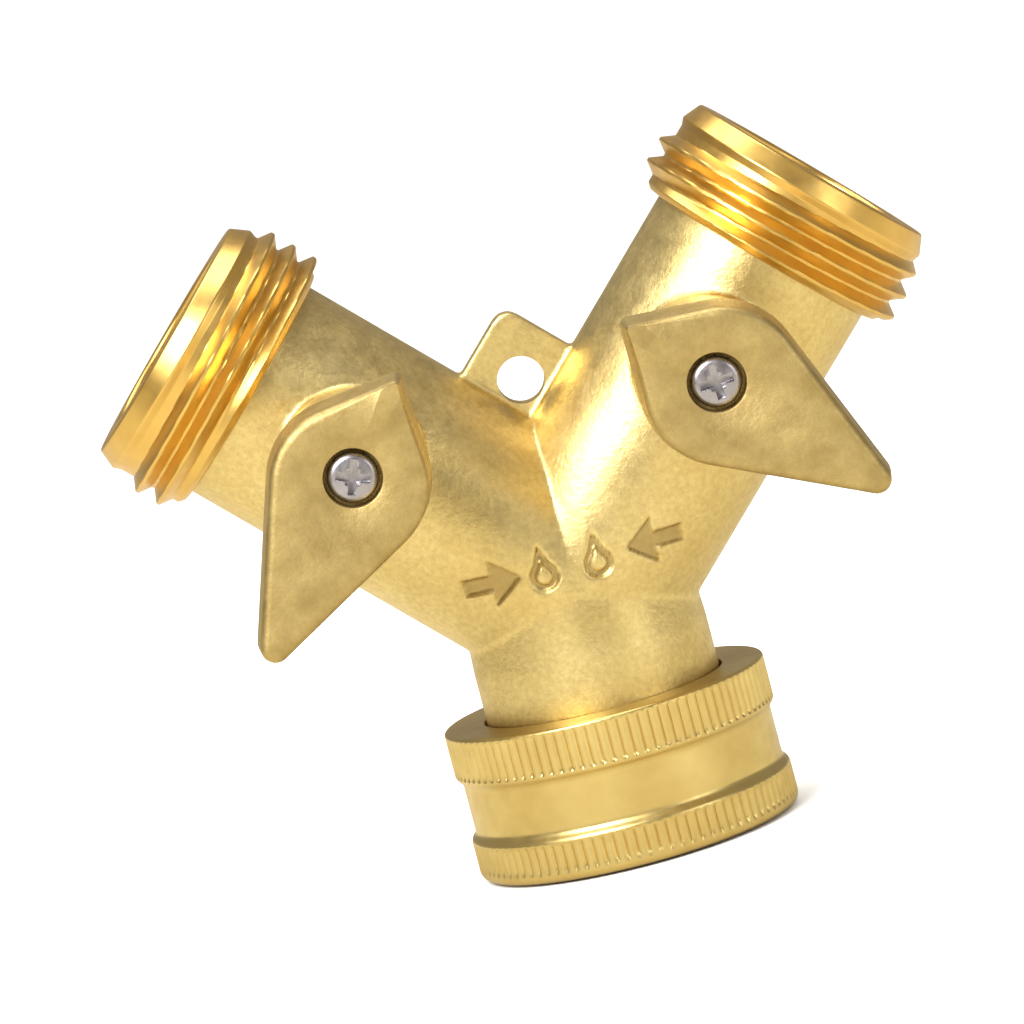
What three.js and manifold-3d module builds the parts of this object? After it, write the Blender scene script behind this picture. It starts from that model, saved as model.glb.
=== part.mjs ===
// Two-way brass garden hose splitter with a shut-off ball valve in each outlet.
// Frame, in millimetres: +Z runs up the inlet axis, the origin is the centre of the coupling nut's
// lower end face, the outlets spread in the XZ plane and the levers face -Y.
import * as THREE from "three";
import { mergeVertices } from "three/addons/utils/BufferGeometryUtils.js";
import Module from "manifold-3d";

const wasm = await Module();
wasm.setup();

// ---------------------------------------------------------------- driving dimensions, mm
const CUT = 1; // how far a cutter runs past the face that it opens
const ROUND = 40; // facets of a large circle
const SMALL = 20; // facets of a small circle

// 3/4-11.5 garden hose thread
const HOSE = {
  pitch: 25.4 / 11.5,
  maleCrest: 13.48,
  maleRoot: 12.3,
  femaleCrest: 12.45,
  femaleRoot: 13.6,
  crestWidth: 0.35,
  rootWidth: 1.75,
  perTurn: 20,
};

const NUT = {
  bandRadius: 15.25,
  waistRadius: 14.7,
  height: 14.2,
  lowerBand: 3.9,
  upperBand: 9.9,
  ramp: 0.9,
  edge: 0.6,
  threadTop: 8.4,
  shoulder: 11.3,
  collarBore: 11.35,
};

const NECK = { radius: 11.1, end: 11.1, bore: 7.5 };
const LEG = { angle: THREE.MathUtils.degToRad(45), radius: 10.85, crossing: 25.5, passage: 5.5 };
const SIDES = { left: -1, right: 1 };
const OUTLET = {
  end: 43.5,
  collar: 34.6,
  flare: 0.5,
  lipRadius: 11.8,
  noseRadius: 12.6,
  nose: 1.9,
  noseFoot: 2.5,
  threadLow: 34.55,
  threadHigh: 40.5,
  threadStart: { left: -126, right: -176 },
};

const SNAP_RING = { inner: 10.6, outer: 11.75, low: 12.35, high: 13.25, slack: 0.15, gap: 5 };
const INLET_WASHER = { inner: 8, outer: 12.7, low: 8.6, high: 11 };
const TAB = { thickness: 3, apex: 51.4, cornerRadius: 1.6, holeRadius: 2.2, holeHeight: 44.4 };

// Valve: along the leg from the crossing of the axes, and out of the leg towards -Y
const BALL = { along: 23.6, radius: 7.7, bore: 4.6, slotDepth: 2, slotWidth: 2.9 };
const CHAMBER = { radius: 8.1, shoulder: 15.8, mouth: 8.75, retainerSeat: 31.4 };
const SEAT = { inner: 5.2, outer: 8, near: 4.3, far: 7.6, gap: 0.15 };
const RETAINER = { inner: 6, outer: 8.6, start: 31.5, end: 36, slotWidth: 2.2, slotDepth: 1.5 };
const STEM = {
  radius: 3.15,
  flangeRadius: 4.2,
  flangeStart: 7.95,
  flangeEnd: 9.1,
  top: 22.2,
  square: 4.2,
  squareStart: 19.4,
  tangTip: 5.9,
  tangWidth: 2.6,
  tangLength: 6,
  screwHole: 1.55,
  screwHoleDepth: 7,
};
const THRUST_WASHER = { inner: 3.3, outer: 4.2, start: 9.2, end: 9.65 };
const O_RING = { centre: 2.78, section: 0.46, places: [11.2, 13.4], grooveWidth: 1.2, grooveFloor: 2.25 };
const BOSS = { radius: 6.6, face: 19.2, stemBore: 3.3, flangeBore: 4.45, flangeBoreEnd: 9.75 };

// Stop: a lug on the boss in an arc pocket of the lever leaves a quarter turn
const TRAVEL = 90;
const LUG = { inner: 4.6, outer: 6, halfAngle: 10, height: 1.2, play: 1, clearance: 0.3 };

const LEVER = {
  back: 19.6,
  front: 25.4,
  hub: 7.45,
  hubOffset: 0.8,
  corner: 9.7,
  cornerRadius: 0.7,
  tip: 16.8,
  tipRadius: 1.65,
  draft: 0.3,
  edge: 0.7,
  socketDepth: 3,
  socketSlack: 0.2,
  recessRadius: 2.65,
  recessDepth: 2,
  screwHole: 1.65,
};
const SCREW = { headRadius: 2.3, headHeight: 1.7, shank: 1.4, length: 8.2, recess: 1.1, crossWidth: 0.75 };

// How far each lever stands open from its closed stop
const REST_ANGLE = { left: 6, right: 1 };

// ---------------------------------------------------------------- solids
const degrees = THREE.MathUtils.degToRad;

// A closed three.js geometry as a manifold-3d solid.
function solidOf(geometry) {
  const bare = geometry.clone();
  bare.deleteAttribute("normal");
  bare.deleteAttribute("uv");
  const merged = mergeVertices(bare, 1e-4);
  const triVerts = new Uint32Array(merged.index.array);
  return new wasm.Manifold(
    new wasm.Mesh({ numProp: 3, vertProperties: merged.attributes.position.array, triVerts }),
  );
}

// A manifold-3d solid as a three.js geometry.
function geometryOf(solid) {
  const mesh = solid.getMesh();
  const geometry = new THREE.BufferGeometry();
  geometry.setAttribute("position", new THREE.BufferAttribute(mesh.vertProperties, 3));
  geometry.setIndex(new THREE.BufferAttribute(mesh.triVerts, 1));
  geometry.computeVertexNormals();
  return geometry;
}

// A profile of [radius, height] points revolved about Z. It closes on itself.
function revolve(profile, facets = ROUND) {
  if (THREE.ShapeUtils.area(profile.map(([x, y]) => new THREE.Vector2(x, y))) < 0) profile.reverse();
  const points = [...profile, profile[0]].map(([r, z]) => new THREE.Vector2(r, z));
  return solidOf(new THREE.LatheGeometry(points, facets).rotateX(Math.PI / 2));
}

// A cylinder along Z between two heights.
function rod(radius, low, high, facets = ROUND) {
  const geometry = new THREE.CylinderGeometry(radius, radius, high - low, facets);
  return solidOf(geometry.rotateX(Math.PI / 2).translate(0, 0, (low + high) / 2));
}

// A solid made along +Z, turned to lie along -Y.
const towardsFront = (solid) => solid.rotate([90, 0, 0]);

function block(width, depth, height, x = 0, y = 0, z = 0) {
  return solidOf(new THREE.BoxGeometry(width, depth, height).translate(x, y, z));
}

// A sector of a ring about Z, between two angles in degrees.
function ringSector(inner, outer, from, to, low, high) {
  const shape = new THREE.Shape();
  shape.absarc(0, 0, outer, degrees(from), degrees(to), false);
  shape.absarc(0, 0, inner, degrees(to), degrees(from), true);
  const options = { depth: high - low, bevelEnabled: false, curveSegments: 10 };
  return solidOf(new THREE.ExtrudeGeometry(shape, options).translate(0, 0, low));
}

// A solid through sections of [x, y, z] points, each with the same number of points.
function loft(sections) {
  const count = sections[0].length;
  const index = [];
  for (let s = 0; s + 1 < sections.length; s++) {
    for (let i = 0; i < count; i++) {
      const a = s * count + i;
      const b = s * count + ((i + 1) % count);
      index.push(a, b, a + count, b, b + count, a + count);
    }
  }
  const last = (sections.length - 1) * count;
  for (let i = 1; i + 1 < count; i++) {
    index.push(0, i + 1, i);
    index.push(last, last + i, last + i + 1);
  }
  const geometry = new THREE.BufferGeometry();
  geometry.setAttribute("position", new THREE.Float32BufferAttribute(sections.flat(2), 3));
  geometry.setIndex(index);
  return solidOf(geometry);
}

// A helical thread ridge about Z. Each end rises out of the wall over the first part of a turn.
function threadRidge(root, crest, low, high) {
  const { pitch, crestWidth, rootWidth, perTurn } = HOSE;
  const outward = Math.sign(crest - root);
  const sink = 0.3;
  const buried = 0.2;
  const fade = 0.35;
  const turns = (high - low) / pitch;
  const steps = Math.round(turns * perTurn);
  const sections = [];
  for (let i = 0; i <= steps; i++) {
    const turn = (i / steps) * turns;
    const rise = Math.min(1, turn / fade - buried, (turns - turn) / fade - buried);
    const angle = 2 * Math.PI * turn;
    const centre = low + turn * pitch;
    const tip = root + (crest - root) * rise;
    const foot = root - sink * outward;
    const halfTip = crestWidth / 2 + ((rootWidth - crestWidth) / 2) * (1 - Math.max(0, rise));
    const corners = [
      [foot, -rootWidth / 2],
      [tip, -halfTip],
      [tip, halfTip],
      [foot, rootWidth / 2],
    ];
    if (outward > 0) corners.reverse();
    sections.push(corners.map(([r, z]) => [r * Math.cos(angle), r * Math.sin(angle), centre + z]));
  }
  return loft(sections);
}

// ---------------------------------------------------------------- materials
const brass = (color, roughness) =>
  new THREE.MeshStandardMaterial({ color, roughness, metalness: 1 });
const MATERIALS = {
  castBrass: brass(0xd9b65c, 0.45),
  machinedBrass: brass(0xe0b64a, 0.25),
  leverBrass: brass(0xc2a760, 0.5),
  innerBrass: brass(0xd0aa50, 0.3),
  zincSteel: brass(0xb9b7b8, 0.3),
  springSteel: brass(0x9a9a9c, 0.35),
  chromedBall: brass(0xd6d8da, 0.12),
  blackRubber: new THREE.MeshStandardMaterial({ color: 0x1c1c1e, roughness: 0.8, metalness: 0 }),
  whitePtfe: new THREE.MeshStandardMaterial({ color: 0xece9e2, roughness: 0.55, metalness: 0 }),
};

function node(name, solid, material) {
  const mesh = new THREE.Mesh(geometryOf(solid), MATERIALS[material]);
  mesh.name = name;
  return mesh;
}

// ---------------------------------------------------------------- valve body
// A solid in a leg's frame, +Z along the leg from the crossing, moved into the part's frame.
function inLeg(solid, side) {
  const tilt = THREE.MathUtils.radToDeg(LEG.angle) * side;
  return solid.rotate([0, tilt, 0]).translate([0, 0, LEG.crossing]);
}

// The machined end of a leg, with its male hose thread.
function threadedCollar(name) {
  const { end, collar, flare, lipRadius, noseRadius, nose, noseFoot } = OUTLET;
  const { threadLow, threadHigh, threadStart } = OUTLET;
  const core = revolve([
    [LEG.radius - CUT, collar],
    [LEG.radius, collar],
    [HOSE.maleRoot, collar + flare],
    [HOSE.maleRoot, end - noseFoot],
    [noseRadius, end - nose],
    [lipRadius, end],
    [LEG.radius - CUT, end],
  ]);
  const ridge = threadRidge(HOSE.maleRoot, HOSE.maleCrest, threadLow, threadHigh);
  const spare = rod(HOSE.maleCrest + CUT, collar - 2 * CUT, collar);
  return core.add(ridge.rotate([0, 0, threadStart[name]])).subtract(spare);
}

// One leg's outside: tube, threaded collar, stem boss and stop lug.
function legOutside(name) {
  const tube = rod(LEG.radius, 0, OUTLET.end - CUT);
  const boss = towardsFront(rod(BOSS.radius, 0, BOSS.face)).translate([0, 0, BALL.along]);
  return tube.add(threadedCollar(name)).add(boss).add(stopLug());
}

// The lug stands on the outlet side of the stem, on the boss's face.
function stopLug() {
  const { inner, outer, halfAngle, height } = LUG;
  const sunk = BOSS.face - CUT;
  const sector = ringSector(inner, outer, 90 - halfAngle, 90 + halfAngle, sunk, BOSS.face + height);
  return facing(sector).translate([0, 0, BALL.along]);
}

// A solid drawn in X and Y with depth along +Z, turned so that its Y is the leg's Z and its depth is -Y.
function facing(solid) {
  return solid.rotate([90, 0, 0]);
}

// Everything that is drilled in one leg.
function legInside() {
  const chamber = rod(CHAMBER.radius, CHAMBER.shoulder, CHAMBER.retainerSeat + CUT);
  const mouth = rod(CHAMBER.mouth, CHAMBER.retainerSeat, OUTLET.end + CUT);
  const passage = rod(LEG.passage, 0, CHAMBER.shoulder + CUT);
  const stemBore = rod(BOSS.stemBore, 0, BOSS.face + LUG.height + CUT, SMALL);
  const flangeBore = rod(BOSS.flangeBore, 0, BOSS.flangeBoreEnd, SMALL);
  const stemCut = towardsFront(stemBore.add(flangeBore)).translate([0, 0, BALL.along]);
  return chamber.add(mouth).add(passage).add(stemCut);
}

// The plate in the fork that the splitter hangs by.
function hangingTab() {
  const { thickness, apex, cornerRadius } = TAB;
  const reach = 10;
  const cornerCentre = apex - cornerRadius * Math.SQRT2;
  const shape = new THREE.Shape();
  shape.moveTo(0, apex - 2 * reach);
  shape.lineTo(reach, apex - reach);
  shape.absarc(0, cornerCentre, cornerRadius, Math.PI / 4, (3 * Math.PI) / 4, false);
  shape.lineTo(-reach, apex - reach);
  const options = { depth: thickness, bevelEnabled: false, curveSegments: 6 };
  return facing(solidOf(new THREE.ExtrudeGeometry(shape, options).translate(0, 0, -thickness / 2)));
}

function valveBody() {
  const sphere = new THREE.SphereGeometry(LEG.radius, ROUND / 2, ROUND / 4);
  const hub = solidOf(sphere.translate(0, 0, LEG.crossing));
  let outside = rod(NECK.radius, NECK.end, LEG.crossing).add(hub).add(hangingTab());
  let inside = rod(NECK.bore, NECK.end - CUT, LEG.crossing);
  for (const [name, side] of Object.entries(SIDES)) {
    outside = outside.add(inLeg(legOutside(name), side));
    inside = inside.add(inLeg(legInside(), side));
  }
  const { outer, inner, low, high, slack } = SNAP_RING;
  const groove = revolve([
    [inner - slack, low - slack],
    [outer + CUT, low - slack],
    [outer + CUT, high + slack],
    [inner - slack, high + slack],
  ]);
  const hole = towardsFront(rod(TAB.holeRadius, -TAB.thickness, TAB.thickness, SMALL));
  const tabHole = hole.translate([0, 0, TAB.holeHeight]);
  return outside.subtract(inside).subtract(groove).subtract(tabHole);
}

// ---------------------------------------------------------------- inlet coupling
function couplingNut() {
  const { bandRadius, waistRadius, height, lowerBand, upperBand, ramp, edge } = NUT;
  const { threadTop, shoulder, collarBore } = NUT;
  const groove = SNAP_RING.slack;
  const shell = revolve([
    [HOSE.femaleRoot + edge, 0],
    [bandRadius - edge, 0],
    [bandRadius, edge],
    [bandRadius, lowerBand],
    [waistRadius, lowerBand + ramp],
    [waistRadius, upperBand - ramp],
    [bandRadius, upperBand],
    [bandRadius, height - edge],
    [bandRadius - edge, height],
    [collarBore, height],
    [collarBore, SNAP_RING.high + groove],
    [SNAP_RING.outer + groove, SNAP_RING.high + groove],
    [SNAP_RING.outer + groove, SNAP_RING.low - groove],
    [collarBore, SNAP_RING.low - groove],
    [collarBore, shoulder],
    [HOSE.femaleRoot, shoulder],
    [HOSE.femaleRoot, edge],
  ]);
  const threadLow = edge + HOSE.rootWidth;
  const threadHigh = threadTop - HOSE.rootWidth / 2;
  return shell.add(threadRidge(HOSE.femaleRoot, HOSE.femaleCrest, threadLow, threadHigh));
}

function snapRing() {
  const { inner, outer, low, high, gap } = SNAP_RING;
  const ring = revolve([[inner, low], [outer, low], [outer, high], [inner, high]], ROUND);
  return ring.subtract(block(gap, 2 * outer, 2 * outer, 0, outer, low));
}

function inletWasher() {
  const { inner, outer, low, high } = INLET_WASHER;
  const edge = 0.3;
  return revolve([
    [inner, low + edge],
    [inner + edge, low],
    [outer - edge, low],
    [outer, low + edge],
    [outer, high - edge],
    [outer - edge, high],
    [inner + edge, high],
    [inner, high - edge],
  ]);
}

// ---------------------------------------------------------------- valve insides, in the leg's frame
// The ball's bore lies along X and its slot across it.
function ball() {
  const { radius, bore, slotDepth, slotWidth } = BALL;
  const sphere = solidOf(new THREE.SphereGeometry(radius, SMALL + 4, SMALL / 2 + 2));
  const hole = rod(bore, -radius - CUT, radius + CUT, SMALL).rotate([0, 90, 0]);
  const slot = block(slotWidth, slotDepth + CUT, 2 * radius, 0, -radius + (slotDepth - CUT) / 2, 0);
  return sphere.subtract(hole).subtract(slot);
}

// A PTFE seat that faces the ball's centre along +Z.
function seat() {
  const { inner, outer, near, far, gap } = SEAT;
  const reach = BALL.radius + gap;
  const steps = 4;
  const start = Math.asin(near / reach);
  const end = Math.acos(inner / reach);
  const profile = [[outer, near], [outer, far], [inner, far]];
  for (let i = 0; i <= steps; i++) {
    const a = end + ((start - end) * i) / steps;
    profile.push([reach * Math.cos(a), reach * Math.sin(a)]);
  }
  return revolve(profile, 32);
}

function retainer() {
  const { inner, outer, start, end, slotWidth, slotDepth } = RETAINER;
  const edge = 0.4;
  const ring = revolve([
    [inner, start],
    [outer, start],
    [outer, end - edge],
    [outer - edge, end],
    [inner + edge, end],
    [inner, end - edge],
  ], 32);
  return ring.subtract(block(slotWidth, 3 * outer, 2 * slotDepth, 0, 0, end));
}

// The stem, along -Y: a tang in the ball's slot, a flange, two O-ring grooves and a square for the lever.
function stem() {
  const { radius, flangeRadius, flangeStart, flangeEnd, top, square, squareStart } = STEM;
  const { grooveFloor, grooveWidth, places } = O_RING;
  const profile = [
    [0, flangeStart],
    [flangeRadius, flangeStart],
    [flangeRadius, flangeEnd],
    [radius, flangeEnd],
  ];
  for (const place of places) {
    const low = place - grooveWidth / 2;
    const high = place + grooveWidth / 2;
    profile.push([radius, low], [grooveFloor, low], [grooveFloor, high], [radius, high]);
  }
  profile.push([radius, squareStart], [0, squareStart]);
  const turned = revolve(profile, SMALL);
  const drive = block(square, square, top - squareStart + CUT, 0, 0, (top + squareStart - CUT) / 2);
  const tang = block(STEM.tangWidth, STEM.tangLength, flangeStart - STEM.tangTip + CUT, 0, 0,
    (flangeStart + STEM.tangTip + CUT) / 2);
  const screwHole = rod(STEM.screwHole, top - STEM.screwHoleDepth, top + CUT, 12);
  return towardsFront(turned.add(drive).add(tang).subtract(screwHole));
}

function oRing(place) {
  const torus = new THREE.TorusGeometry(O_RING.centre, O_RING.section, 6, SMALL).translate(0, 0, place);
  return towardsFront(solidOf(torus));
}

function thrustWasher() {
  const { inner, outer, start, end } = THRUST_WASHER;
  return towardsFront(revolve([[inner, start], [outer, start], [outer, end], [inner, end]], SMALL));
}

// The lever's outline, tip along +X: a round hub with a blunt corner behind and a long beak in front.
function leverOutline(inset) {
  const { hub, hubOffset, corner, cornerRadius, tip, tipRadius } = LEVER;
  const circles = [
    { x: tip, r: tipRadius - inset, steps: 6 },
    { x: hubOffset, r: hub - inset, steps: 7 },
    { x: cornerRadius - corner, r: cornerRadius - Math.min(inset, cornerRadius / 2), steps: 4 },
    { x: hubOffset, r: hub - inset, steps: 7 },
  ];
  // Direction of the tangent's normal between two circles on the X axis, measured from +X.
  const tangent = (front, back) => Math.acos((back.r - front.r) / (back.x - front.x));
  const beak = Math.PI - tangent(circles[1], circles[0]);
  const heel = Math.PI - tangent(circles[2], circles[1]);
  const turns = [-beak, beak, heel, 2 * Math.PI - heel, 2 * Math.PI - beak];
  return circles.flatMap(({ x, r, steps }, k) => {
    const [from, to] = [turns[k], turns[k + 1]];
    return Array.from({ length: steps + 1 }, (_, i) => {
      const a = from + ((to - from) * i) / steps;
      return [x + r * Math.cos(a), r * Math.sin(a)];
    });
  });
}

// The lever, drawn tip along +X with its depth along +Z. hand is 1 where it opens anticlockwise.
function lever(hand) {
  const { back, front, draft, edge, socketDepth, socketSlack, recessRadius, recessDepth } = LEVER;
  const levels = [
    [0, back],
    [draft, front - edge],
    [draft + edge * 0.3, front - edge * 0.3],
    [draft + edge, front],
  ];
  const solid = loft(levels.map(([inset, z]) => leverOutline(inset).map(([x, y]) => [x, y, z])));
  const square = STEM.square + socketSlack * 2;
  const socket = block(square, square, socketDepth + CUT, 0, 0, back + (socketDepth - CUT) / 2);
  const hole = rod(LEVER.screwHole, back, front, 16);
  const recess = rod(recessRadius, front - recessDepth, front + CUT, SMALL);
  const reach = LUG.halfAngle + LUG.play;
  const [from, to] = hand > 0 ? [-TRAVEL - reach - 90, reach - 90] : [90 - reach, TRAVEL + 90 + reach];
  const depth = BOSS.face + LUG.height + LUG.clearance;
  const [inner, outer] = [LUG.inner - LUG.clearance, LUG.outer + LUG.clearance];
  const pocket = ringSector(inner, outer, from, to, back - CUT, depth);
  return solid.subtract(socket).subtract(hole).subtract(recess).subtract(pocket);
}

// A cross-recessed pan-head screw along -Y.
function leverScrew() {
  const { headRadius, headHeight, shank, length, recess, crossWidth } = SCREW;
  const seatFace = LEVER.front - LEVER.recessDepth + 0.05;
  const top = seatFace + headHeight;
  const turned = revolve([
    [0, seatFace - length],
    [shank - 0.4, seatFace - length],
    [shank, seatFace - length + 0.6],
    [shank, seatFace],
    [headRadius, seatFace],
    [headRadius, top - 0.8],
    [headRadius * 0.85, top - 0.35],
    [headRadius * 0.5, top - 0.08],
    [0, top],
  ], SMALL);
  const bar = 1.5 * headRadius;
  const slot = block(bar, crossWidth, 2 * recess, 0, 0, top);
  const cross = slot.add(slot.rotate([0, 0, 90]));
  return towardsFront(turned.subtract(cross));
}

// ---------------------------------------------------------------- assembly
// One valve in its leg's frame.
function valve(name) {
  const side = SIDES[name];
  const leg = new THREE.Group();
  leg.position.z = LEG.crossing;
  leg.rotation.y = LEG.angle * side;

  const fixed = new THREE.Group();
  fixed.position.z = BALL.along;
  fixed.add(node(`${name}_outer_seat`, seat(), "whitePtfe"));
  fixed.add(node(`${name}_inner_seat`, seat().rotate([180, 0, 0]), "whitePtfe"));
  leg.add(fixed);
  leg.add(node(`${name}_seat_retainer`, retainer(), "innerBrass"));

  // The moving set: drawn closed, with the lever square to the leg, then turned off its closed stop.
  const turning = new THREE.Group();
  turning.position.z = BALL.along;
  turning.rotation.y = degrees(REST_ANGLE[name]) * side;
  const tipAngle = side < 0 ? 180 : 0;
  turning.add(node(`${name}_lever`, facing(lever(-side).rotate([0, 0, tipAngle])), "leverBrass"));
  turning.add(node(`${name}_lever_screw`, leverScrew(), "zincSteel"));
  turning.add(node(`${name}_stem`, stem(), "innerBrass"));
  turning.add(node(`${name}_ball`, ball(), "chromedBall"));
  turning.add(node(`${name}_thrust_washer`, thrustWasher(), "whitePtfe"));
  O_RING.places.forEach((place, i) => {
    turning.add(node(`${name}_stem_o_ring_${["inner", "outer"][i]}`, oRing(place), "blackRubber"));
  });
  leg.add(turning);
  return leg;
}

const splitter = new THREE.Group();
splitter.add(node("valve_body", valveBody(), "castBrass"));
splitter.add(node("coupling_nut", couplingNut(), "machinedBrass"));
splitter.add(node("swivel_snap_ring", snapRing(), "springSteel"));
splitter.add(node("inlet_washer", inletWasher(), "blackRubber"));
splitter.add(valve("left"));
splitter.add(valve("right"));

export default splitter;
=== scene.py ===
import math

import bmesh
import bpy
import numpy as np
from mathutils import Matrix, Vector


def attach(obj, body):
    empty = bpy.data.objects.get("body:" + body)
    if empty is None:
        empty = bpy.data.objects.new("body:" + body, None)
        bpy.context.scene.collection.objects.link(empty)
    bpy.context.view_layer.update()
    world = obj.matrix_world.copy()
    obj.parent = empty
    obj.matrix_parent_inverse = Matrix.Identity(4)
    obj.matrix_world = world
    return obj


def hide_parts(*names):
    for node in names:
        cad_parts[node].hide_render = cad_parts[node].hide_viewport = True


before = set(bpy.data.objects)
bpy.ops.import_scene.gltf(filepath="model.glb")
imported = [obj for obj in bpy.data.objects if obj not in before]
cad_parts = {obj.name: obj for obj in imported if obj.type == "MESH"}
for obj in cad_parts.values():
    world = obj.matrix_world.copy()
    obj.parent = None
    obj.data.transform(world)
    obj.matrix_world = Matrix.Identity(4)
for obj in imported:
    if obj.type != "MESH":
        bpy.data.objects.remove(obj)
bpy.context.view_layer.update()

# A two-way brass hose splitter. Shapes are worked out in millimetres in the frame of the packed
# part and scaled to metres as each piece is finished. The pieces stand for the CAD nodes.

MM = 0.001
SIDES = {"left": -1, "right": 1}

# ---------------------------------------------------------------- driving dimensions, mm
LEG_ANGLE = math.radians(45)
CROSSING = 25.5
LEG_RADIUS = 10.85
NECK = {"radius": 11.1, "top_radius": 10.75, "end": 11.1, "taper": 19, "bore": 7.5}
PASSAGE = 5.5
CHAMBER = {"radius": 8.1, "low": 15.8, "high": 32}
MOUTH = {"radius": 9.4, "low": 31.4}
BOSS = {"radius": 6.6, "face": 19.2}
STEM_BORE = 3.3
FLANGE_BORE = {"radius": 4.45, "end": 9.75}
TAB = {"apex": 51.4, "reach": 10, "corner": 1.6, "half": 1.5, "hole": 2.2, "hole_height": 44.4}
OUTLET_END = 43.5
COLLAR = 34.6
BALL_ALONG = 23.6
BALL_RADIUS = 7.7
SEAT = {"reach": 7.85, "inner": 5.2, "outer": 8, "near": 4.3, "far": 7.6}
RETAINER = {"inner": 6, "outer": 8.6, "low": 31.5, "high": 36}
REST_ANGLE = {"left": 6, "right": 1}
PITCH = 25.4 / 11.5
MALE = {"root": 12.35, "crest": 13.48, "low": 34.55, "high": 40.5}
THREAD_START = {"left": -126, "right": -176}
FEMALE = {"root": 13.6, "crest": 12.45, "low": 2.35, "high": 7.5}
THREAD_CREST = 0.28
THREAD_BASE = 1.95
LEVER = {"back": 19.6, "front": 25.4, "hub": 7.45, "hub_x": 0.8, "corner": 9.7, "tip": 16.8}
RECESS = {"radius": 2.65, "depth": 2, "hole": 1.65}
POCKET = {"inner": 4.3, "outer": 6.3, "top": 20.7, "reach": 11, "travel": 90}
FLUTES = 94
SCREW_TURN = {"left": 20, "right": 50}
CAST_VOXEL = 0.24


# ---------------------------------------------------------------- shapes
def mesh_object(name, vertices, faces):
    """A mesh in millimetres, with doubled vertices merged and its faces pointing out."""
    mesh = bpy.data.meshes.new(name)
    mesh.from_pydata(np.asarray(vertices, float).reshape(-1, 3).tolist(), [], np.asarray(faces).tolist())
    work = bmesh.new()
    work.from_mesh(mesh)
    bmesh.ops.remove_doubles(work, verts=work.verts, dist=1e-4)
    bmesh.ops.recalc_face_normals(work, faces=work.faces)
    work.to_mesh(mesh)
    work.free()
    made = bpy.data.objects.new(name, mesh)
    bpy.context.collection.objects.link(made)
    return made


def skin(name, rings):
    """A closed skin through rings of equal length, the last joined to the first."""
    count, columns = rings.shape[:2]
    i, j = np.meshgrid(np.arange(count), np.arange(columns), indexing="ij")
    after, beside = (i + 1) % count, (j + 1) % columns
    corners = [i * columns + j, i * columns + beside, after * columns + beside, after * columns + j]
    return mesh_object(name, rings, np.stack(corners, -1).reshape(-1, 4))


def revolve(name, profile, columns=160, shape=None):
    """A closed profile of (radius, height) turned about Z.

    shape(radius, height, angle), where given, changes the radius.
    """
    profile = np.asarray(profile, float)
    angle = np.linspace(0, 2 * math.pi, columns, endpoint=False)[None, :]
    radius, height = profile[:, :1], profile[:, 1:]
    if shape:
        radius = shape(radius, height, angle)
    rings = [radius * np.cos(angle), radius * np.sin(angle), height + 0 * angle]
    return skin(name, np.stack(np.broadcast_arrays(*rings), -1))


def rounded(corners, steps=5):
    """A closed outline from (x, y, corner radius) points, each corner a fillet of that radius."""
    points = []
    for k, (x, y, radius) in enumerate(corners):
        here = Vector((x, y))
        if not radius:
            points.append(tuple(here))
            continue
        before = (Vector(corners[k - 1][:2]) - here).normalized()
        after = (Vector(corners[(k + 1) % len(corners)][:2]) - here).normalized()
        half = before.angle(after) / 2
        reach = radius / math.tan(half)
        centre = here + (before + after).normalized() * radius / math.sin(half)
        start = (here + before * reach - centre).normalized()
        end = (here + after * reach - centre).normalized()
        for s in range(steps + 1):
            points.append(tuple(centre + start.slerp(end, s / steps) * radius))
    return points


def dense(outline, step):
    """The closed outline with no stretch longer than step."""
    points = []
    for k, a in enumerate(outline):
        b = outline[(k + 1) % len(outline)]
        pieces = max(1, math.ceil(math.dist(a, b) / step))
        points += [tuple(np.array(a) + (np.array(b) - a) * s / pieces) for s in range(pieces)]
    return points


def cylinder(radius, low, high, columns=160):
    return revolve("cutter", [(0, low), (radius, low), (radius, high), (0, high)], columns)


def prism(outline, low, high):
    """The outline in X and Y between two heights."""
    count = len(outline)
    vertices = [(x, y, z) for z in (low, high) for x, y in outline]
    sides = [(i, (i + 1) % count, count + (i + 1) % count, count + i) for i in range(count)]
    mesh = bpy.data.meshes.new("cutter")
    mesh.from_pydata(vertices, [], sides + [tuple(range(count))[::-1], tuple(range(count, 2 * count))])
    mesh.validate()
    made = bpy.data.objects.new("cutter", mesh)
    bpy.context.collection.objects.link(made)
    return made


def box(width, depth, height, x=0, y=0, z=0):
    outline = [(x + a * width / 2, y + b * depth / 2) for a, b in ((-1, -1), (1, -1), (1, 1), (-1, 1))]
    return prism(outline, z - height / 2, z + height / 2)


def placed(made, matrix):
    made.data.transform(matrix)
    return made


def applied(made):
    """Turns the object's modifiers into its mesh."""
    graph = bpy.context.evaluated_depsgraph_get()
    old = made.data
    made.data = bpy.data.meshes.new_from_object(made.evaluated_get(graph))
    made.modifiers.clear()
    bpy.data.meshes.remove(old)
    return made


def joined(made, others):
    """Adds the others' faces to the first object's mesh."""
    work = bmesh.new()
    work.from_mesh(made.data)
    for other in others:
        work.from_mesh(other.data)
        bpy.data.objects.remove(other)
    work.to_mesh(made.data)
    work.free()
    return made


def combine(made, others, operation):
    for other in others:
        step = made.modifiers.new("combine", "BOOLEAN")
        step.object = other
        step.operation = operation
        step.solver = "EXACT"
    applied(made)
    for other in others:
        bpy.data.objects.remove(other)
    return made


def leg_frame(side):
    return Matrix.Translation((0, 0, CROSSING)) @ Matrix.Rotation(LEG_ANGLE * side, 4, "Y")


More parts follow.
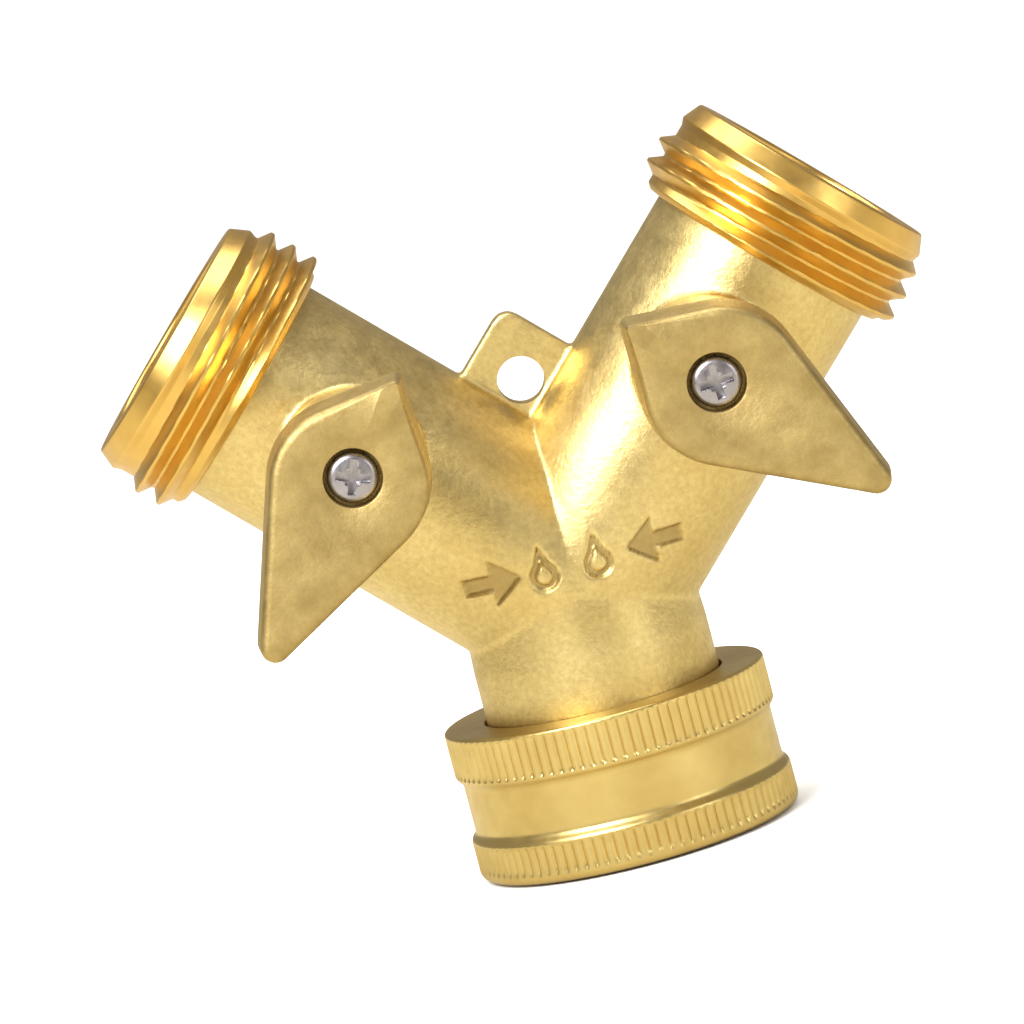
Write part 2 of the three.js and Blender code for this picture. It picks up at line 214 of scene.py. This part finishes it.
def valve_frame(name):
    side = SIDES[name]
    turn = Matrix.Rotation(math.radians(REST_ANGLE[name]) * side, 4, "Y")
    return leg_frame(side) @ Matrix.Translation((0, 0, BALL_ALONG)) @ turn


TO_FRONT = Matrix.Rotation(math.radians(90), 4, "X")


def finish_piece(made, name, body, nodes, material, sharp=35):
    """Scales the piece to metres, shades it and hangs it on its body in place of its CAD nodes."""
    made.name = name
    made.data.transform(Matrix.Scale(MM, 4))
    made.data.polygons.foreach_set("use_smooth", [True] * len(made.data.polygons))
    made.data.set_sharp_from_angle(angle=math.radians(sharp))
    made.data.materials.clear()
    made.data.materials.append(material)
    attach(made, body)
    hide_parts(*nodes)
    return made


# ---------------------------------------------------------------- materials
class Shader:
    """A Principled material with helpers for its procedural inputs, in metres of the part's frame."""

    def __init__(self, name, metallic, **sockets):
        self.material = bpy.data.materials.new(name)
        self.material.use_nodes = True
        self.tree = self.material.node_tree
        self.shader = self.tree.nodes["Principled BSDF"]
        self.shader.inputs["Metallic"].default_value = metallic
        for socket, value in sockets.items():
            self.shader.inputs[socket.replace("_", " ")].default_value = value
        self.place = self.tree.nodes.new("ShaderNodeTexCoord").outputs["Object"]

    def node(self, kind, inputs=None, **settings):
        made = self.tree.nodes.new("ShaderNode" + kind)
        for key, value in settings.items():
            setattr(made, key, value)
        for key, value in (inputs or {}).items():
            if isinstance(value, bpy.types.NodeSocket):
                self.tree.links.new(value, made.inputs[key])
            else:
                made.inputs[key].default_value = value
        return made

    def stretched(self, scale, turn=0):
        """The place, turned about Y and scaled along X, Y and Z."""
        turned = self.node("Mapping", {"Vector": self.place, "Rotation": (0, turn, 0)})
        return self.node("Mapping", {"Vector": turned.outputs[0], "Scale": scale}).outputs[0]

    def noise(self, size, detail=3.0, where=None, roughness=0.55):
        """Noise with features of this size in metres, from 0 to 1."""
        inputs = {"Vector": where or self.place, "Scale": 1 / size, "Detail": detail, "Roughness": roughness}
        return self.node("TexNoise", inputs).outputs["Fac"]

    def spread(self, value, low, high, start=0.3, end=0.7):
        inputs = {"Value": value, "From Min": start, "From Max": end, "To Min": low, "To Max": high}
        return self.node("MapRange", inputs).outputs[0]

    def blend(self, factor, first, second, mode="MIX"):
        made = self.node("Mix", data_type="RGBA", blend_type=mode, clamp_factor=True)
        for index, value in ((0, factor), (6, first), (7, second)):
            if isinstance(value, bpy.types.NodeSocket):
                self.tree.links.new(value, made.inputs[index])
            elif index:
                made.inputs[index].default_value = (*value, 1)
            else:
                made.inputs[index].default_value = value
        return made.outputs[2]

    def bump(self, *layers):
        """Each layer is (height from 0 to 1, depth in metres, strength)."""
        normal = None
        for height, depth, strength in layers:
            inputs = {"Height": height, "Distance": depth, "Strength": strength}
            if normal:
                inputs["Normal"] = normal
            normal = self.node("Bump", inputs).outputs[0]
        self.tree.links.new(normal, self.shader.inputs["Normal"])

    def set(self, **sockets):
        for socket, value in sockets.items():
            self.tree.links.new(value, self.shader.inputs[socket.replace("_", " ")])
        return self


def cast_brass():
    """Bead-blasted pale brass: a fine even grain over faint cloudy patches, with painted shade darkening the
    marks.
    """
    m = Shader("cast_brass", 1.0)
    clouds = m.noise(0.009, 4)
    grain = m.noise(0.00055, 3, roughness=0.7)
    colour = m.blend(m.spread(clouds, 0, 1), (0.72, 0.56, 0.22), (0.84, 0.69, 0.32))
    colour = m.blend(m.spread(grain, 0, 0.5), colour, (0.48, 0.33, 0.12))
    # Painted shade: the colour turns dark brown where the marks are sunk, standing in for the shade in their
    # recesses.
    sunk = m.node("Attribute", attribute_name="sunk").outputs["Fac"]
    colour = m.blend(m.spread(sunk, 0, 0.6, 0.2, 1.0), colour, (0.30, 0.20, 0.07))
    m.set(Base_Color=colour, Roughness=m.spread(m.noise(0.002, 3), 0.34, 0.46))
    m.bump((grain, 0.00007, 0.65), (m.noise(0.0018, 2), 0.00008, 0.25))
    return m.material


def lever_brass():
    """Brass as it left the mould: darker, olive, with speckles and shallow pits."""
    m = Shader("lever_brass", 1.0)
    grain = m.noise(0.0006, 4, roughness=0.75)
    patches = m.noise(0.0022, 3)
    colour = m.blend(m.spread(patches, 0, 1), (0.42, 0.31, 0.12), (0.56, 0.43, 0.18))
    colour = m.blend(m.spread(grain, 0, 0.55, 0.45, 0.75), colour, (0.40, 0.28, 0.10))
    m.set(Base_Color=colour, Roughness=m.spread(grain, 0.42, 0.6))
    m.bump((grain, 0.00008, 0.6), (patches, 0.00012, 0.3))
    return m.material


def machined_brass(name, turn=0.0, colour=(0.78, 0.52, 0.15), rough=(0.28, 0.38)):
    """Turned brass: fine rings about the axis and a few handling marks."""
    m = Shader(name, 1.0)
    rings = m.noise(1.0, 3, where=m.stretched((60, 60, 9000), turn))
    tarnish = m.noise(0.006, 4)
    dark = tuple(c * k for c, k in zip(colour, (0.80, 0.72, 0.60)))
    m.set(Base_Color=m.blend(m.spread(tarnish, 0, 0.6), colour, dark),
          Roughness=m.spread(m.noise(0.0015, 3), *rough))
    m.bump((rings, 0.000012, 0.5), (m.noise(0.0009, 3), 0.000008, 0.2))
    return m.material


def plated(name, colour, rough, grain=0.0006):
    """Plated or drawn metal with a slight orange-peel skin."""
    m = Shader(name, 1.0)
    skin_noise = m.noise(grain, 3)
    dark = tuple(c * 0.8 for c in colour)
    m.set(Base_Color=m.blend(m.spread(m.noise(0.002, 3), 0, 1), colour, dark),
          Roughness=m.spread(skin_noise, rough * 0.8, rough * 1.3))
    m.bump((skin_noise, 0.00001, 0.3))
    return m.material


def soft_material(name, colour, pale, rough):
    """Rubber or plastic with a moulded skin."""
    m = Shader(name, 0.0)
    skin_noise = m.noise(0.0004, 3)
    m.set(Base_Color=m.blend(m.spread(m.noise(0.003, 3), 0, 1), colour, pale),
          Roughness=m.spread(skin_noise, rough - 0.08, rough + 0.08))
    m.bump((skin_noise, 0.00003, 0.4))
    return m.material


CAST = cast_brass()
LEVER_BRASS = lever_brass()
TURNED = {name: machined_brass(f"{name}_machined_brass", -LEG_ANGLE * side) for name, side in SIDES.items()}
NUT_BRASS = machined_brass("nut_brass", 0.0, (0.76, 0.60, 0.24), (0.28, 0.40))
INNER_BRASS = machined_brass("inner_brass", 0.0, (0.74, 0.53, 0.22), (0.2, 0.3))
ZINC = plated("zinc_steel", (0.44, 0.42, 0.46), 0.3)
SPRING = plated("spring_steel", (0.5, 0.5, 0.52), 0.3)
CHROME = plated("plated_ball", (0.82, 0.83, 0.85), 0.06, 0.002)
RUBBER = soft_material("black_rubber", (0.018, 0.018, 0.02), (0.04, 0.04, 0.042), 0.62)
PTFE = soft_material("white_ptfe", (0.80, 0.79, 0.75), (0.86, 0.85, 0.82), 0.4)


# ---------------------------------------------------------------- threads, knurls and marks
def ridge(angle, height, low, high):
    """How far a thread ridge has risen at this place, from 0 in the root to 1 on the crest."""
    turns = (high - low) / PITCH
    around = angle / (2 * math.pi)
    along = (height - low) / PITCH - around
    nearest = np.round(along)
    off = np.abs(along - nearest) * PITCH
    at = around + nearest
    rise = np.clip(np.minimum(at, turns - at) / 0.3, 0, 1)
    flank = np.clip((THREAD_BASE / 2 - off) / (THREAD_BASE / 2 - THREAD_CREST / 2), 0, 1)
    return flank * rise


def male_thread(radius, height, angle):
    outer = (radius > MALE["root"] - 0.01) & (height > COLLAR + 0.2) & (height < MALE["high"] + 1.2)
    return radius + outer * (MALE["crest"] - MALE["root"]) * ridge(angle, height, MALE["low"], MALE["high"])


def nut_surface(radius, height, angle):
    """The nut's inner thread and its two knurled bands."""
    inner = (np.abs(radius - FEMALE["root"]) < 0.01) & (height < 9)
    thread = ridge(angle, height, FEMALE["low"], FEMALE["high"])
    radius = radius - inner * (FEMALE["root"] - FEMALE["crest"]) * thread
    depth = 0.24
    groove = np.abs(np.sin(angle * FLUTES / 2)) ** 0.9
    lower = np.clip((height - 0.7) / 0.7, 0, 1) * np.clip((3.75 - height) / 0.35, 0, 1)
    upper = np.clip((height - 9.95) / 0.35, 0, 1) * np.clip((13.95 - height) / 0.3, 0, 1)
    outer = radius > 14.9
    return radius - outer * depth * (1 - groove) * np.maximum(lower, upper)


def arrow_depth(x, z, centre_x, centre_z, way, tilt):
    """How deep an arrow mark is at this place: positive inside the arrow, in mm from its edge."""
    a = math.radians(tilt)
    u = ((x - centre_x) * math.cos(a) + (z - centre_z) * math.sin(a)) * way
    v = -(x - centre_x) * math.sin(a) + (z - centre_z) * math.cos(a)
    shaft = np.minimum(0.8 - np.abs(v), np.minimum(u + 2.6, 0.9 - u))
    head = np.minimum(u, (2.9 - u) * 0.62 - np.abs(v) * 0.78)
    return np.maximum(shaft, head)


def drop_depth(x, z, centre_x, centre_z):
    """The same for a ring-shaped water drop with its point up."""
    radius, length = 1.4, 3.0
    u, v = x - centre_x, z - centre_z
    round_part = radius - np.hypot(u, v)
    taper = np.where((v > 0) & (v < length), radius * (1 - v / length) * 0.95 - np.abs(u), -1)
    body = np.maximum(round_part, taper)
    return np.minimum(body, 0.7 - body)


def press_marks(made):
    """Sinks two inward arrows and two water drops into the front of the fork."""
    mesh = made.data
    place = np.empty(len(mesh.vertices) * 3)
    normal = np.empty_like(place)
    mesh.vertices.foreach_get("co", place)
    mesh.vertices.foreach_get("normal", normal)
    place, normal = place.reshape(-1, 3), normal.reshape(-1, 3)
    x, y, z = place.T
    edge = np.maximum.reduce([
        arrow_depth(x, z, -7.4, 27.9, 1, 0),
        arrow_depth(x, z, 8.2, 28.0, -1, 0),
        drop_depth(x, z, -2.5, 27.4),
        drop_depth(x, z, 2.6, 27.4),
    ])
    sunk = np.clip(edge / 0.35 + 0.35, 0, 1)
    sunk = sunk * sunk * (3 - 2 * sunk) * ((y < -3) & (normal[:, 1] < -0.2))
    place -= normal * (0.42 * sunk)[:, None]
    mesh.vertices.foreach_set("co", place.ravel())
    # The sunk amount is also kept on the mesh, where the cast brass uses it to paint shade into the marks.
    mesh.attributes.new("sunk", "FLOAT", "POINT").data.foreach_set("value", sunk)
    mesh.update()


# ---------------------------------------------------------------- valve body
def make_body():
    sphere = revolve("hub", [(LEG_RADIUS * math.sin(a), -LEG_RADIUS * math.cos(a))
                             for a in np.linspace(0, math.pi, 49)])
    placed(sphere, Matrix.Translation((0, 0, CROSSING)))
    outside = [sphere]
    inside = [cylinder(NECK["bore"], NECK["end"] - 1, CROSSING)]
    for side in SIDES.values():
        leg = leg_frame(side)
        stem = leg @ Matrix.Translation((0, 0, BALL_ALONG)) @ TO_FRONT
        outside.append(placed(cylinder(LEG_RADIUS, 0, COLLAR + 1.4), leg))
        outside.append(placed(cylinder(BOSS["radius"], 0, BOSS["face"]), stem))
        lug = rounded([(-0.75, 4.6, 0.2), (0.75, 4.6, 0.2), (0.9, 6.0, 0.2), (-0.9, 6.0, 0.2)])
        outside.append(placed(prism(lug, 18, 20.4), stem))
        inside.append(placed(cylinder(PASSAGE, 0, 17), leg))
        inside.append(placed(cylinder(CHAMBER["radius"], CHAMBER["low"], CHAMBER["high"]), leg))
        inside.append(placed(cylinder(MOUTH["radius"], MOUTH["low"], COLLAR + 3), leg))
        inside.append(placed(cylinder(STEM_BORE, 0, 22), stem))
        inside.append(placed(cylinder(FLANGE_BORE["radius"], 0, FLANGE_BORE["end"]), stem))
    apex, reach = TAB["apex"], TAB["reach"]
    side_height = apex - reach
    tab = rounded([(0, apex - 2 * reach, 0), (reach, side_height, 0), (0, apex, TAB["corner"]),
                   (-reach, side_height, 0)])
    outside.append(placed(prism(tab, -TAB["half"], TAB["half"]), TO_FRONT))
    hole = cylinder(TAB["hole"], -2 * TAB["half"], 2 * TAB["half"])
    inside.append(placed(hole, Matrix.Translation((0, 0, TAB["hole_height"])) @ TO_FRONT))
    groove = revolve("groove", [(10.45, 12.2), (13, 12.2), (13, 13.4), (10.45, 13.4)])
    neck = revolve("neck", [(0, NECK["end"]), (NECK["radius"], NECK["end"]), (NECK["radius"], NECK["taper"]),
                            (NECK["top_radius"], CROSSING), (0, CROSSING)])
    body = joined(neck, outside)
    skin_step = body.modifiers.new("skin", "REMESH")
    skin_step.mode = "VOXEL"
    skin_step.voxel_size = CAST_VOXEL
    soften = body.modifiers.new("soften", "SMOOTH")
    soften.factor = 0.5
    soften.iterations = 9
    applied(body)
    press_marks(body)
    combine(body, inside + [groove], "DIFFERENCE")
    return finish_piece(body, "cast_body", "casting", ["valve_body"], CAST, 60)


def make_outlet(name):
    side = SIDES[name]
    profile = rounded([
        (8.75, 33.5, 0),
        (8.75, OUTLET_END, 0.35),
        (11.8, OUTLET_END, 0.3),
        (12.62, OUTLET_END - 1.8, 0.35),
        (MALE["root"], OUTLET_END - 2.5, 0),
        (MALE["root"], COLLAR + 0.35, 0.25),
        (11.9, COLLAR - 0.1, 0.3),
        (10.6, COLLAR - 0.3, 0),
        (10.2, 33.5, 0),
    ])
    collar = revolve("collar", dense(profile, 0.09), 288, male_thread)
    placed(collar, leg_frame(side) @ Matrix.Rotation(math.radians(THREAD_START[name]), 4, "Z"))
    return finish_piece(collar, f"{name}_outlet_thread", "casting", ["valve_body"],
                        TURNED[name], 28)


# ---------------------------------------------------------------- inlet coupling
def make_nut():
    profile = rounded([
        (14.05, 0, 0.15),
        (14.3, 0, 0.2),
        (15.25, 0, 0.9),
        (15.25, 3.9, 0.7),
        (14.7, 4.5, 0.9),
        (14.7, 9.3, 0.9),
        (15.25, 9.85, 0.7),
        (15.25, 14.2, 0.35),
        (11.35, 14.2, 0.12),
        (11.35, 13.4, 0),
        (11.9, 13.4, 0),
        (11.9, 12.2, 0),
        (11.35, 12.2, 0),
        (11.35, 11.3, 0),
        (FEMALE["root"], 11.3, 0),
        (FEMALE["root"], 0.6, 0),
    ])
    nut = revolve("nut", dense(profile, 0.22), FLUTES * 8, nut_surface)
    return finish_piece(nut, "swivel_nut", "nut", ["coupling_nut"], NUT_BRASS, 40)


def make_washer():
    profile = rounded([(8, 8.6, 0.35), (12.7, 8.6, 0.35), (12.7, 11, 0.35), (8, 11, 0.35)])
    washer = revolve("washer", dense(profile, 0.5))
    return finish_piece(washer, "hose_washer", "nut", ["inlet_washer"], RUBBER)


# ---------------------------------------------------------------- levers and screws
def lever_outline(inset, count=40, flank=24):
    """The lever's outline, tip along +X: a round hub, a blunt corner behind and a long beak."""
    hub, hub_x, tip = LEVER["hub"], LEVER["hub_x"], LEVER["tip"]
    tip_radius, corner_radius = 1.65, 0.8
    circles = [
        (tip, tip_radius - inset),
        (hub_x, hub - inset),
        (corner_radius - LEVER["corner"], corner_radius - min(inset, corner_radius * 0.6)),
        (hub_x, hub - inset),
    ]
    beak = math.pi - math.acos((circles[1][1] - circles[0][1]) / (circles[1][0] - circles[0][0]))
    heel = math.pi - math.acos((circles[2][1] - circles[1][1]) / (circles[2][0] - circles[1][0]))
    turns = [-beak, beak, heel, 2 * math.pi - heel, 2 * math.pi - beak]
    arcs = []
    for k, (x, radius) in enumerate(circles):
        a = np.linspace(turns[k], turns[k + 1], count)
        arcs.append(np.column_stack([x + radius * np.cos(a), radius * np.sin(a)]))
    between = np.linspace(0, 1, flank + 2)[1:-1, None]
    points = []
    for arc, following in zip(arcs, arcs[1:] + arcs[:1]):
        points += [arc, arc[-1] + (following[0] - arc[-1]) * between]
    return np.vstack(points)


def make_lever(name):
    side = SIDES[name]
    back, front = LEVER["back"], LEVER["front"]
    direction = lever_outline(0)
    direction = direction / np.linalg.norm(direction, axis=1)[:, None]

    def outline(inset, depth):
        return np.column_stack([lever_outline(inset), np.full(len(direction), depth)])

    def circle(radius, depth):
        return np.column_stack([direction * radius, np.full(len(direction), depth)])

    edge, draft = 0.85, 0.32
    recess, hole = RECESS["radius"], RECESS["hole"]
    floor = front - RECESS["depth"]
    rings = [circle(hole, back), outline(0.25, back), outline(0.05, back + 0.1), outline(0, back + 0.3)]
    rings += [outline(draft * s, back + 0.3 + (front - edge - back - 0.3) * s) for s in (0.33, 0.66, 1)]
    for a in np.linspace(0.2, 1, 6) * math.pi / 2:
        rings.append(outline(draft + edge * (1 - math.cos(a)), front - edge + edge * math.sin(a)))
    rings += [circle(recess + 0.2, front), circle(recess + 0.05, front - 0.06), circle(recess, front - 0.2)]
    rings += [circle(recess, floor + 0.05), circle(recess - 0.1, floor), circle(hole, floor)]
    lever = skin("lever", np.array(rings))
    socket = box(4.6, 4.6, 4, z=back + 1)
    inner, outer, reach = POCKET["inner"], POCKET["outer"], POCKET["reach"]
    start = -180 - reach if side < 0 else 90 - reach
    arc = np.radians(np.linspace(start, start + POCKET["travel"] + 2 * reach, 25))
    pocket_outline = [(outer * math.cos(a), outer * math.sin(a)) for a in arc]
    pocket_outline += [(inner * math.cos(a), inner * math.sin(a)) for a in arc[::-1]]
    pocket = prism(pocket_outline, back - 1, POCKET["top"])
    combine(lever, [socket, pocket], "DIFFERENCE")
    tip = Matrix.Rotation(math.pi if side < 0 else 0, 4, "Z")
    placed(lever, valve_frame(name) @ TO_FRONT @ tip)
    return finish_piece(lever, f"{name}_handle", f"{name}_valve", [f"{name}_lever"],
                        LEVER_BRASS, 40)


def make_screw(name):
    seat = LEVER["front"] - 1.95
    top = seat + 1.75
    radius = 2.3
    profile = [(0, seat - 8.2), (1.0, seat - 8.2), (1.4, seat - 7.6), (1.4, seat), (radius, seat)]
    profile += [(radius, seat + 0.9)]
    crown = np.linspace(0, math.pi / 2, 9)[1:]
    profile += [(radius - 0.75 * (1 - math.cos(a)), seat + 0.9 + 0.7 * math.sin(a)) for a in crown]
    profile += [(1.0, top - 0.03), (0, top)]
    screw = revolve("screw", profile, 96)
    arm, half, depth = 1.55, 0.36, 1.2
    cross = []
    for k in range(4):
        bar = box(arm, 2 * half, 2 * depth, x=arm / 2, z=top)
        cross.append(placed(bar, Matrix.Rotation(k * math.pi / 2, 4, "Z")))
    cross.append(box(1.35, 1.35, 2 * depth * 0.95, z=top))
    combine(screw, cross, "DIFFERENCE")
    bevel = screw.modifiers.new("bevel", "BEVEL")
    bevel.width = 0.06
    bevel.segments = 2
    bevel.limit_method = "ANGLE"
    bevel.angle_limit = math.radians(40)
    applied(screw)
    placed(screw, valve_frame(name) @ TO_FRONT @ Matrix.Rotation(math.radians(SCREW_TURN[name]), 4, "Z"))
    return finish_piece(screw, f"{name}_cross_screw", f"{name}_valve", [f"{name}_lever_screw"],
                        ZINC, 30)


# ---------------------------------------------------------------- valve insides seen in the mouths
def make_ball(name):
    arc = np.linspace(0, math.pi, 61)
    ball = revolve("ball", [(BALL_RADIUS * math.sin(a), -BALL_RADIUS * math.cos(a)) for a in arc], 120)
    bore = placed(cylinder(4.6, -9, 9, 96), Matrix.Rotation(math.pi / 2, 4, "Y"))
    slot = box(2.9, 3, 16, y=-7.2)
    combine(ball, [bore, slot], "DIFFERENCE")
    placed(ball, valve_frame(name))
    return finish_piece(ball, f"{name}_ball_plug", f"{name}_valve", [f"{name}_ball"],
                        CHROME, 30)


def make_seat(name, which, way):
    reach, inner, outer, near, far = (SEAT[key] for key in ("reach", "inner", "outer", "near", "far"))
    edge = 0.15
    start, end = math.acos(inner / reach), math.asin(near / reach)
    profile = [(outer, near), (outer, far - edge), (outer - edge, far)]
    profile += [(inner + edge, far), (inner, far - edge)]
    profile += [(reach * math.cos(a), reach * math.sin(a)) for a in np.linspace(start, end, 12)]
    seat = revolve("seat", profile, 128)
    flip = Matrix.Rotation(0 if way > 0 else math.pi, 4, "X")
    placed(seat, leg_frame(SIDES[name]) @ Matrix.Translation((0, 0, BALL_ALONG)) @ flip)
    return finish_piece(seat, f"{name}_{which}_ring", "casting", [f"{name}_{which}_seat"],
                        PTFE)


def make_retainer(name):
    inner, outer, low, high = (RETAINER[key] for key in ("inner", "outer", "low", "high"))
    profile = rounded([(inner, low, 0.2), (outer, low, 0.2), (outer, high, 0.4), (inner, high, 0.4)])
    ring = revolve("retainer", dense(profile, 0.6), 128)
    combine(ring, [box(2.2, 26, 3, z=high)], "DIFFERENCE")
    placed(ring, leg_frame(SIDES[name]))
    return finish_piece(ring, f"{name}_retaining_ring", "casting", [f"{name}_seat_retainer"],
                        INNER_BRASS)


make_body()
make_nut()
make_washer()
for valve in SIDES:
    make_outlet(valve)
    make_lever(valve)
    make_screw(valve)
    make_ball(valve)
    make_seat(valve, "outer", 1)
    make_seat(valve, "inner", -1)
    make_retainer(valve)

# The pieces that never show keep their CAD shape.
HIDDEN = {
    "stem": INNER_BRASS,
    "thrust_washer": PTFE,
    "stem_o_ring_inner": RUBBER,
    "stem_o_ring_outer": RUBBER,
}
carried = {f"{valve}_{part}": look for valve in SIDES for part, look in HIDDEN.items()}
carried["swivel_snap_ring"] = SPRING
for node, look in carried.items():
    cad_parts[node].data.materials.clear()
    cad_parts[node].data.materials.append(look)


# ---------------------------------------------------------------- camera, light and floor
def aim(obj, place, target, roll=0.0):
    """Puts obj at place looking at target, both in mm, rolled about its line of sight."""
    forward = (Vector(target) - Vector(place)).normalized()
    right = forward.cross(Vector((0, 0, 1))).normalized()
    up = right.cross(forward)
    a = math.radians(roll)
    across, above = right * math.cos(a) + up * math.sin(a), up * math.cos(a) - right * math.sin(a)
    turned = Matrix((across, above, -forward)).transposed().to_4x4()
    obj.matrix_world = Matrix.Translation(Vector(place) * MM) @ turned


def make_camera():
    data = bpy.data.cameras.new("camera")
    data.sensor_width = 36
    data.lens = 249.3
    data.clip_start = 0.01
    camera = bpy.data.objects.new("camera", data)
    bpy.context.collection.objects.link(camera)
    aim(camera, (-1.67, -650.5, 110.9), (-3.89, 0, 32.6), -14.755)
    bpy.context.scene.camera = camera


def make_light(name, place, size, power, colour=(1, 1, 1)):
    data = bpy.data.lights.new(name, "AREA")
    data.shape = "RECTANGLE"
    data.size, data.size_y = size[0] * MM, size[1] * MM
    data.energy = power
    data.color = colour
    light = bpy.data.objects.new(name, data)
    bpy.context.collection.objects.link(light)
    aim(light, place, (0, 0, 35))


def make_world():
    """Plain pale surroundings, a little darker where only reflections see them."""
    world = bpy.data.worlds.new("studio")
    bpy.context.scene.world = world
    world.use_nodes = True
    tree = world.node_tree
    backdrop = tree.nodes["Background"]
    backdrop.inputs["Color"].default_value = (1, 1, 1, 1)
    backdrop.inputs["Strength"].default_value = 1.15
    room = tree.nodes.new("ShaderNodeBackground")
    room.inputs["Color"].default_value = (0.64, 0.58, 0.50, 1)
    room.inputs["Strength"].default_value = 0.5
    path = tree.nodes.new("ShaderNodeLightPath")
    mix = tree.nodes.new("ShaderNodeMixShader")
    tree.links.new(path.outputs["Is Glossy Ray"], mix.inputs[0])
    tree.links.new(backdrop.outputs[0], mix.inputs[1])
    tree.links.new(room.outputs[0], mix.inputs[2])
    tree.links.new(mix.outputs[0], tree.nodes["World Output"].inputs["Surface"])


def make_floor():
    """Pale paper, darker and warmer where only reflections see it."""
    reach, drop = 20000, -0.2
    corners = [(-reach, -reach, drop), (reach, -reach, drop), (reach, reach, drop), (-reach, reach, drop)]
    floor = mesh_object("floor", corners, [(0, 1, 2, 3)])
    floor.data.transform(Matrix.Scale(MM, 4))
    look = Shader("floor_paper", 0.0, Roughness=0.9)
    paper = look.blend(look.spread(look.noise(0.05), 0, 1), (0.95, 0.95, 0.945), (0.965, 0.965, 0.96))
    # Painted shade: glossy rays find a darker, warmer floor than the camera sees, which darkens the
    # undersides of the metal.
    mirrored = look.node("LightPath").outputs["Is Glossy Ray"]
    look.set(Base_Color=look.blend(mirrored, paper, (0.50, 0.46, 0.36)))
    floor.data.materials.append(look.material)


make_camera()
make_world()
make_floor()
make_light("key", (-260, -420, 420), (320, 320), 5.0)
make_light("fill", (420, -380, 160), (260, 260), 0.5)
make_light("top", (0, 60, 480), (420, 300), 1.6)
bpy.context.scene.view_settings.view_transform = "Standard"
